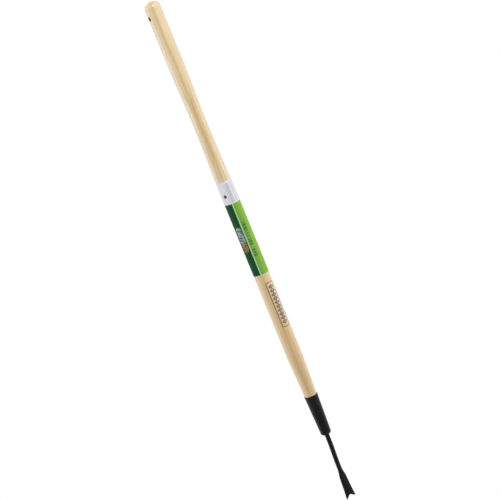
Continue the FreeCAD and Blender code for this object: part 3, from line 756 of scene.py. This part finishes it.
def green_film():
    """Printed film: a dark and a light green panel with a pale line between them; the light panel carries
    painted light, lighter towards the right.
    """
    material, add, shader, place = new_finish("green_film")
    across, up = unrolled(add, place)
    amounts = {"X": across, "Y": up}
    middle = (label_low.z + label_high.z) / 2 / MM
    half = (label_high.z - label_low.z) / 2 / MM
    # painted light: the light green panel grows lighter towards the right
    painted_light = add("ShaderNodeMapRange", (across, SPLIT, PAINTED_LIGHT_END), interpolation_type="SMOOTHSTEP")
    light_green_painted = add("ShaderNodeMix", (painted_light, linear("#74A442"), linear("#8ABC46")), data_type="RGBA")
    panel = patch(add, amounts, ((SPLIT + LIGHT_END) / 2, middle), ((LIGHT_END - SPLIT) / 2, half), 0.2)
    colour = add("ShaderNodeMix", (panel, linear("#1A4E2A"), light_green_painted), data_type="RGBA")

    # a row of plain bars, each as tall as the row, so that none forms a letter; coarse enough to show
    number = add("ShaderNodeMath", (up, PRINT_BAR), operation="SNAP")
    chance = add("ShaderNodeTexWhiteNoise", (number,), noise_dimensions="1D")
    bars = add("ShaderNodeMath", (chance, PRINT_SHARE), operation="LESS_THAN")
    row = patch(add, amounts, PRINT_MIDDLE, PRINT_HALVES, 0.5)
    bars = add("ShaderNodeMath", (bars, row), operation="MULTIPLY")
    bars = add("ShaderNodeMath", (bars, PRINT_STRENGTH), operation="MULTIPLY")
    colour = add("ShaderNodeMix", (bars, colour, linear("#2E5A22")), data_type="RGBA")

    # picture on the dark panel: pale mottle above, straw and earth below
    mottle = add("ShaderNodeTexNoise", {"Vector": place, "Scale": 1 / 3.2, "Detail": 4.0})
    spots = add("ShaderNodeMapRange", (mottle, 0.38, 0.62), interpolation_type="SMOOTHSTEP")
    pale = add("ShaderNodeMix", (spots, linear("#3F6454"), linear("#B9C6C2")), data_type="RGBA")
    straw = add("ShaderNodeMix", (spots, linear("#4C4A22"), linear("#B39A58")), data_type="RGBA")
    limits = (up, PICTURE_EARTH + EARTH_BLEND, PICTURE_EARTH - EARTH_BLEND)
    ground = add("ShaderNodeMapRange", limits, interpolation_type="SMOOTHSTEP")
    picture = add("ShaderNodeMix", (ground, pale, straw), data_type="RGBA")
    window = patch(add, amounts, PICTURE_MIDDLE, PICTURE_HALVES, PICTURE_CORNER, PICTURE_EDGE)
    window = add("ShaderNodeMath", (window, PICTURE_STRENGTH), operation="MULTIPLY")
    colour = add("ShaderNodeMix", (window, colour, picture), data_type="RGBA")

    # pale line between the panels, and the bare edge of the film at its top and bottom
    split = patch(add, amounts, (SPLIT, middle), (SPLIT_HALF, half), 0.15)
    colour = add("ShaderNodeMix", (split, colour, linear("#AFCFA6")), data_type="RGBA")
    printed = patch(add, amounts, (0.0, middle - 0.2), (200.0, half - 1.0), 0.15)
    colour = add("ShaderNodeMix", (printed, linear("#CFE0C2"), colour), data_type="RGBA")
    grain = add("ShaderNodeTexNoise", {"Vector": place, "Scale": 1 / 6.0, "Detail": 3.0})
    rough = add("ShaderNodeMapRange", (grain, 0.0, 1.0, 0.34, 0.5))
    set_finish(add, shader, colour, rough, grain, 0.06 * MM, Specular_IOR_Level=FILM_SPECULAR)
    return material


# white sticker, in millimetres round the pole from its front and up
BAR_WIDTH, BAR_EDGE, BAR_STRENGTH = 2.1, (0.62, 0.38), 0.34
BARS_MIDDLE, BARS_HALVES = (4.0, 678.0), (13.5, 20.0)
SPOT_MIDDLE, SPOT_RADIUS = (-15.6, 673.0), 3.6


def sticker_paper():
    """White coated paper: bars that run along the pole and a round spot."""
    material, add, shader, place = new_finish("sticker_paper")
    across, up = unrolled(add, place)
    amounts = {"X": across, "Y": up}
    # a sticker's bars are too fine to show, so these are drawn a few times as wide
    number = add("ShaderNodeMath", (across, BAR_WIDTH), operation="SNAP")
    chance = add("ShaderNodeTexWhiteNoise", (number,), noise_dimensions="1D")
    bars = add("ShaderNodeMapRange", (chance, *BAR_EDGE, 0.0, BAR_STRENGTH))
    field = patch(add, amounts, BARS_MIDDLE, BARS_HALVES, 0.5)
    bars = add("ShaderNodeMath", (bars, field), operation="MULTIPLY")
    colour = add("ShaderNodeMix", (bars, linear("#E2E1E6"), linear("#746E84")), data_type="RGBA")
    spot = patch(add, amounts, SPOT_MIDDLE, (SPOT_RADIUS, SPOT_RADIUS), SPOT_RADIUS)
    colour = add("ShaderNodeMix", (spot, colour, linear("#564E5E")), data_type="RGBA")
    fibre = add("ShaderNodeTexNoise", {"Vector": place, "Scale": 1 / 0.9, "Detail": 4.0})
    rough = add("ShaderNodeMapRange", (fibre, 0.0, 1.0, 0.45, 0.6))
    set_finish(add, shader, colour, rough, fibre, 0.02 * MM, Specular_IOR_Level=PAPER_SPECULAR)
    return material


# ------------------------------------------------------------------------------------------
# The pieces
# ------------------------------------------------------------------------------------------
wood = lacquered_hardwood()
smooth_enamel = enamel("black_enamel", "#070708", "#0E0E10", 1.4, 0.34, 0.5, 0.03 * MM)
forged_enamel = enamel("forged_enamel", "#070707", "#101011", 5.0, 0.32, 0.52, 0.12 * MM)
film = green_film()
paper = sticker_paper()
# where each film starts, in degrees round from the front
LABEL_SEAM, STICKER_SEAM = 175.0, 168.0

PIECES = [
    (make_pole(wood), "handle", "wood"),
    (make_ferrule(smooth_enamel), "ferrule", "black_enamel"),
    (make_head(forged_enamel), "weeder_head", "black_enamel"),
    (make_bead(forged_enamel), "ferrule_weld", "black_enamel"),
    (make_pin(smooth_enamel), "ferrule_pin", "black_enamel"),
    (make_film("green_wrap", label_low.z, label_high.z, LABEL_SEAM, film), "product_label", "green_label"),
    (make_film("white_wrap", sticker_low.z, sticker_high.z, STICKER_SEAM, paper),
     "barcode_sticker", "white_sticker"),
]
for piece, node, slot_name in PIECES:
    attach(piece, "root")
    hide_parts(node)


# ------------------------------------------------------------------------------------------
# Floor, light and camera
# ------------------------------------------------------------------------------------------
FLOOR_REACH = 60.0
# name, degrees round from the camera, degrees up, distance, width and height in metres, watts
SOFTBOXES = [
    ("left_softbox", -95, 12, 1.6, 0.5, 2.0, 7.4),
    ("right_softbox", 76, 12, 1.6, 0.5, 2.0, 5.8),
    ("front_softbox", 14, 40, 2.6, 1.2, 1.2, 37.0),
]
# where the studio's light starts and stops dimming towards its front, as cosines
FRONT_EDGE = (-0.3, 0.9)
SKY_BACK, SKY_FRONT = 0.85, 0.45
FLOOR_BACK, FLOOR_FRONT = 0.8, 0.3
MIDDLE = (cad_box[0] + cad_box[1]) / 2


def direction(azimuth, elevation):
    """Unit vector from the tool towards a viewer at that azimuth and elevation, in degrees."""
    turn, lift = math.radians(azimuth), math.radians(elevation)
    return Vector((math.sin(turn) * math.cos(lift), -math.cos(turn) * math.cos(lift), math.sin(lift)))


def facing(target, towards, distance):
    """Placement at a distance from the target, looking back at it."""
    turned_round = towards.to_track_quat("Z", "Y").to_matrix().to_4x4()
    return Matrix.Translation(target + towards * distance) @ turned_round


def add_softbox(name, azimuth, elevation, distance, width, height, watts):
    """Soft light that faces the middle of the tool."""
    light = bpy.data.lights.new(name, "AREA")
    light.shape = "RECTANGLE"
    light.size = width
    light.size_y = height
    light.energy = watts
    add_object(name, light).matrix_world = facing(MIDDLE, direction(azimuth, elevation), distance)


def studio_white(add, place, back, front):
    """Strength of the white studio: full to the camera; its light is dimmer in front of the tool."""
    around = add("ShaderNodeVectorMath", (place,), operation="NORMALIZE")
    ahead = add("ShaderNodeVectorMath", (around, FRONT), operation="DOT_PRODUCT")
    light = add("ShaderNodeMapRange", (ahead, *FRONT_EDGE, back, front), interpolation_type="SMOOTHSTEP")
    seen = add("ShaderNodeLightPath").outputs["Is Camera Ray"]
    return add("ShaderNodeMix", (seen, light, 1.0), data_type="FLOAT")


def make_floor():
    """Plain white studio floor, bright enough to run into the white behind it."""
    corners = [(x * FLOOR_REACH, y * FLOOR_REACH, 0) for x, y in ((-1, -1), (1, -1), (1, 1), (-1, 1))]
    mesh = bpy.data.meshes.new("floor")
    mesh.from_pydata(corners, [], [(0, 1, 2, 3)])
    material = bpy.data.materials.new("white_floor")
    material.use_nodes = True
    material.node_tree.nodes.clear()
    add = partial(add_node, material.node_tree)
    strength = studio_white(add, add("ShaderNodeTexCoord").outputs["Object"], FLOOR_BACK, FLOOR_FRONT)
    glow = add("ShaderNodeEmission", {"Color": linear("#FFFFFF"), "Strength": strength})
    add("ShaderNodeOutputMaterial", {"Surface": glow})
    mesh.materials.append(material)
    return add_object("floor", mesh)


FRONT = direction(CAMERA_AZIMUTH, 0)
make_floor()

world = bpy.data.worlds.new("studio")
world.use_nodes = True
world.node_tree.nodes.clear()
add_sky = partial(add_node, world.node_tree)
strength = studio_white(add_sky, add_sky("ShaderNodeTexCoord").outputs["Generated"], SKY_BACK, SKY_FRONT)
glow = add_sky("ShaderNodeBackground", {"Color": linear("#FFFFFF"), "Strength": strength})
add_sky("ShaderNodeOutputWorld", {"Surface": glow})
bpy.context.scene.world = world

for name, turn, *rest in SOFTBOXES:
    add_softbox(name, CAMERA_AZIMUTH + turn, *rest)

CAMERA_DISTANCE = 2.8335
LEAN = math.radians(22.195)
AIM_UP = 20.1 * MM
AIM_LEFT = 2.9 * MM
camera_data = bpy.data.cameras.new("camera")
camera_data.sensor_width = 36.0
camera_data.lens = 104.4
camera = add_object("camera", camera_data)
towards = direction(CAMERA_AZIMUTH, CAMERA_ELEVATION)
rightwards = direction(CAMERA_AZIMUTH + 90, 0)
aim = Vector((0, 0, MIDDLE.z + AIM_UP)) - rightwards * AIM_LEFT
camera.matrix_world = facing(aim, towards, CAMERA_DISTANCE) @ Matrix.Rotation(-LEAN, 4, "Z")
bpy.context.scene.camera = camera
bpy.context.scene.view_settings.view_transform = "Standard"
